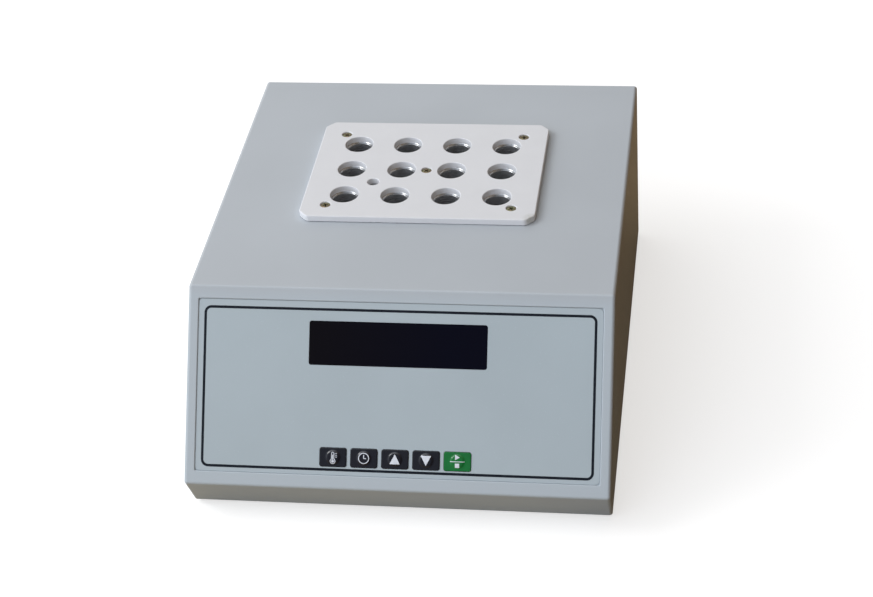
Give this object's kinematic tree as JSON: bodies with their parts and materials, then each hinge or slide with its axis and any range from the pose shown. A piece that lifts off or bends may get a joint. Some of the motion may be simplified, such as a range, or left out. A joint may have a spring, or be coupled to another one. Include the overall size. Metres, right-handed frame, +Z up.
{
  "type": "chemical oxygen demand reactor",
  "caption": "Bench heating reactor for sealed test vials: low sheet-metal case with a sloped keypad panel and a white plate with vial bores on top.",
  "frame": {"origin": "on the bench, under the middle of the whole machine", "axes": "+X to the operator's right, +Y to the back, +Z up; the sloped keypad panel faces -Y"},
  "size_m": [0.26, 0.3146, 0.129],
  "materials": {
    "case_paint": "satin pale grey-blue powder coat",
    "panel_paint": "fine matt grey powder coat",
    "foot_rubber": "matt black",
    "steel_screw": "zinc plated",
    "overlay_film": "satin printed film",
    "window_pane": "dark clear pane",
    "dark_plastic": "matt black",
    "key_dark": "glossy near-black dome",
    "key_green": "glossy green dome",
    "circuit_board": "green solder mask",
    "brass_part": "turned",
    "plate_white": "white heat-proof plastic, satin",
    "gasket_grey": "grey heat-proof sheet",
    "plate_screw_brass": "darkened by heat",
    "block_metal": "milled, with reamed holes",
    "liner_steel": "drawn tube, dulled by heat",
    "heater_mat": "silicone sheet",
    "clamp_steel": "plain sheet",
    "ceramic": "unglazed ceramic",
    "wool": "mineral wool board",
    "inlet_plastic": "fine-grained black moulding",
    "rocker_plastic": "polished black moulding",
    "fuse_glass": "clear tube with plated caps",
    "core_steel": "varnished laminations",
    "coil_wire": "varnished copper wire",
    "sink_metal": "anodised"
  },
  "bodies": {
    "housing": {"case_cover": "case_paint", "base_plate": "panel_paint", "rear_panel": "panel_paint", "feet": "foot_rubber", "base_screws": "steel_screw", "rear_screws": "steel_screw", "keypad_overlay": "overlay_film", "display_window": "window_pane", "display_module": "dark_plastic", "key_switches": "dark_plastic", "control_board": "circuit_board", "control_parts": "dark_plastic", "board_spacers": "brass_part", "board_screws": "steel_screw", "top_plate": "plate_white", "plate_gasket": "gasket_grey", "plate_screws": "plate_screw_brass", "bore_liners": "liner_steel", "heating_block": "block_metal", "heater": "heater_mat", "heater_clamp": "clamp_steel", "clamp_screws": "steel_screw", "block_posts": "ceramic", "post_screws": "steel_screw", "insulation_pad": "wool", "insulation_jacket": "wool", "temperature_probe": "clamp_steel", "thermal_cutout": "clamp_steel", "mains_inlet": "inlet_plastic", "inlet_pins": "brass_part", "inlet_screws": "steel_screw", "power_switch": "inlet_plastic", "power_board": "circuit_board", "power_board_posts": "brass_part", "power_board_screws": "steel_screw", "transformer_core": "core_steel", "transformer_coil": "coil_wire", "power_parts": "dark_plastic", "heat_sink": "sink_metal", "sink_screws": "steel_screw", "power_control": "dark_plastic"},
    "temperature_key": {"key_temperature": "key_dark"},
    "time_key": {"key_time": "key_dark"},
    "up_key": {"key_up": "key_dark"},
    "down_key": {"key_down": "key_dark"},
    "start_key": {"key_start": "key_green"},
    "rocker": {"switch_rocker": "rocker_plastic"},
    "fuse_tray": {"fuse_drawer": "inlet_plastic", "fuses": "fuse_glass"}
  },
  "joints": [
    {"name": "press_temperature", "type": "slide", "parent": "housing", "child": "temperature_key", "axis": [0, 0.7975, -0.6033], "range_m": [0, 0.0006], "stiffness_N_per_m": 1500},
    {"name": "press_time", "type": "slide", "parent": "housing", "child": "time_key", "axis": [0, 0.7975, -0.6033], "range_m": [0, 0.0006], "stiffness_N_per_m": 1500},
    {"name": "press_up", "type": "slide", "parent": "housing", "child": "up_key", "axis": [0, 0.7975, -0.6033], "range_m": [0, 0.0006], "stiffness_N_per_m": 1500},
    {"name": "press_down", "type": "slide", "parent": "housing", "child": "down_key", "axis": [0, 0.7975, -0.6033], "range_m": [0, 0.0006], "stiffness_N_per_m": 1500},
    {"name": "press_start", "type": "slide", "parent": "housing", "child": "start_key", "axis": [0, 0.7975, -0.6033], "range_m": [0, 0.0006], "stiffness_N_per_m": 1500},
    {"name": "rocker_tilt", "type": "hinge", "parent": "housing", "child": "rocker", "pos_m": [0.034, 0.15023, 0.044], "axis": [1, 0, 0], "range_deg": [0, 16]},
    {"name": "fuse_tray_pull", "type": "slide", "parent": "housing", "child": "fuse_tray", "axis": [0, 1, 0], "range_m": [0, 0.018]}
  ]
}
